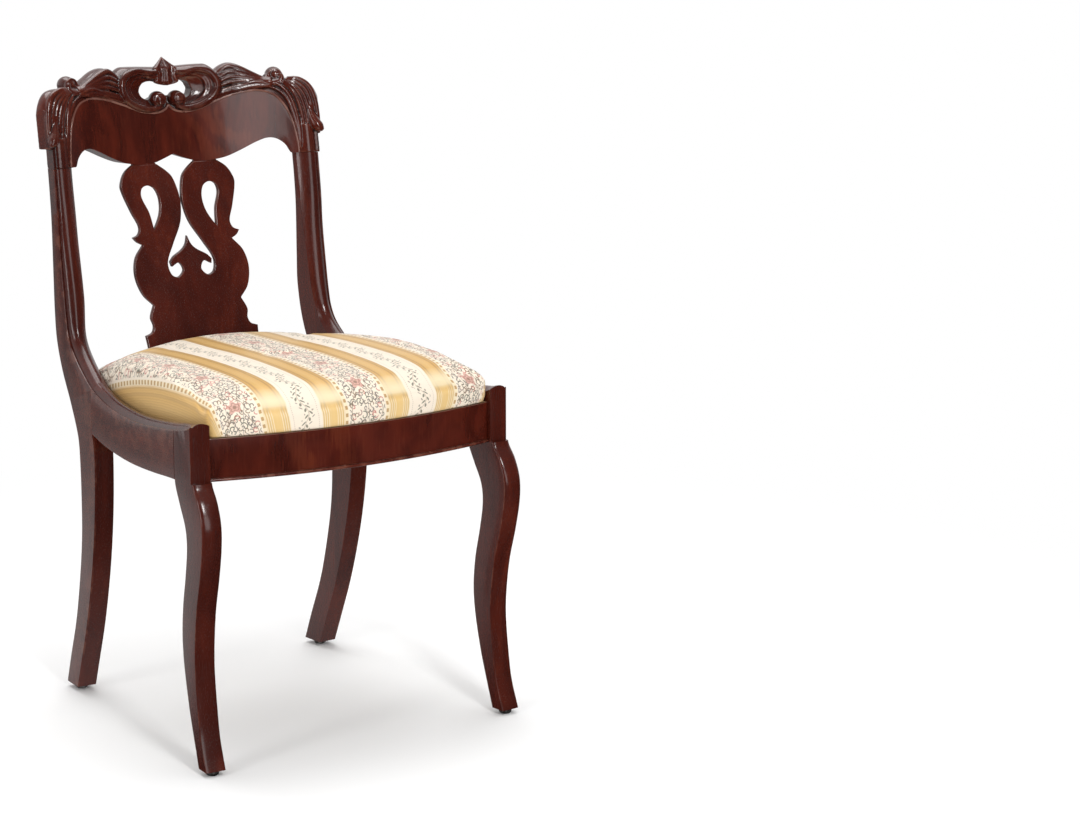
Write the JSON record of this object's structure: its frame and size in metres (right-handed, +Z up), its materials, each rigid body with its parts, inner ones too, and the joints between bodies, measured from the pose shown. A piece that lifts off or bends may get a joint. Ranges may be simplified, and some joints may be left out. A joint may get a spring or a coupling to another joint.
{
  "type": "klismos chair",
  "caption": "Klismos-type side chair: sabre rear legs running into swept stiles, curved front legs, pierced swan-neck splat, carved crest rail and a drop-in upholstered seat.",
  "frame": {"origin": "on the floor, below the middle of the chair's bounding box", "axes": "+X to the right of someone looking at its front, +Y to the back, +Z up"},
  "size_m": [0.4652, 0.5406, 0.84],
  "materials": {
    "mahogany": "dark red-brown mahogany, polished film finish",
    "figured_veneer": "crotch-figured mahogany veneer, polished",
    "secondary_wood": "plain sawn secondary wood, unfinished",
    "screw_steel": "steel wood screws",
    "glide_metal": "dulled metal glides",
    "webbing": "woven jute webbing",
    "hessian": "plain hessian",
    "stuffing": "hair and fibre stuffing",
    "striped_fabric": "satin woven stripes in ivory and gold with small flowers"
  },
  "bodies": {
    "frame": {"front_leg_right": "mahogany", "front_leg_left": "mahogany", "rear_post_right": "mahogany", "rear_post_left": "mahogany", "side_rail_right": "mahogany", "side_rail_left": "mahogany", "front_rail": "secondary_wood", "front_rail_veneer": "figured_veneer", "front_rail_bead": "mahogany", "rear_rail": "mahogany", "splat": "mahogany", "crest_rail": "mahogany", "crest_veneer": "figured_veneer", "front_corner_block_right": "secondary_wood", "front_corner_block_left": "secondary_wood", "rear_corner_block_right": "secondary_wood", "rear_corner_block_left": "secondary_wood", "front_rail_screw_right": "screw_steel", "front_rail_screw_left": "screw_steel", "front_side_screw_right": "screw_steel", "front_side_screw_left": "screw_steel", "rear_rail_screw_right": "screw_steel", "rear_rail_screw_left": "screw_steel", "rear_side_screw_right": "screw_steel", "rear_side_screw_left": "screw_steel", "front_glide_right": "glide_metal", "front_glide_left": "glide_metal", "rear_glide_right": "glide_metal", "rear_glide_left": "glide_metal"},
    "slip_seat": {"seat_board_front": "secondary_wood", "seat_board_rear": "secondary_wood", "seat_board_right": "secondary_wood", "seat_board_left": "secondary_wood", "webbing_across_1": "webbing", "webbing_along_1": "webbing", "webbing_across_2": "webbing", "webbing_along_2": "webbing", "webbing_across_3": "webbing", "webbing_along_3": "webbing", "seat_hessian": "hessian", "seat_stuffing": "stuffing", "seat_cover": "striped_fabric"}
  },
  "joints": [
    {"name": "seat_lift", "type": "slide", "parent": "frame", "child": "slip_seat", "axis": [0, 0, 1], "range_m": [0, 0.15]}
  ]
}
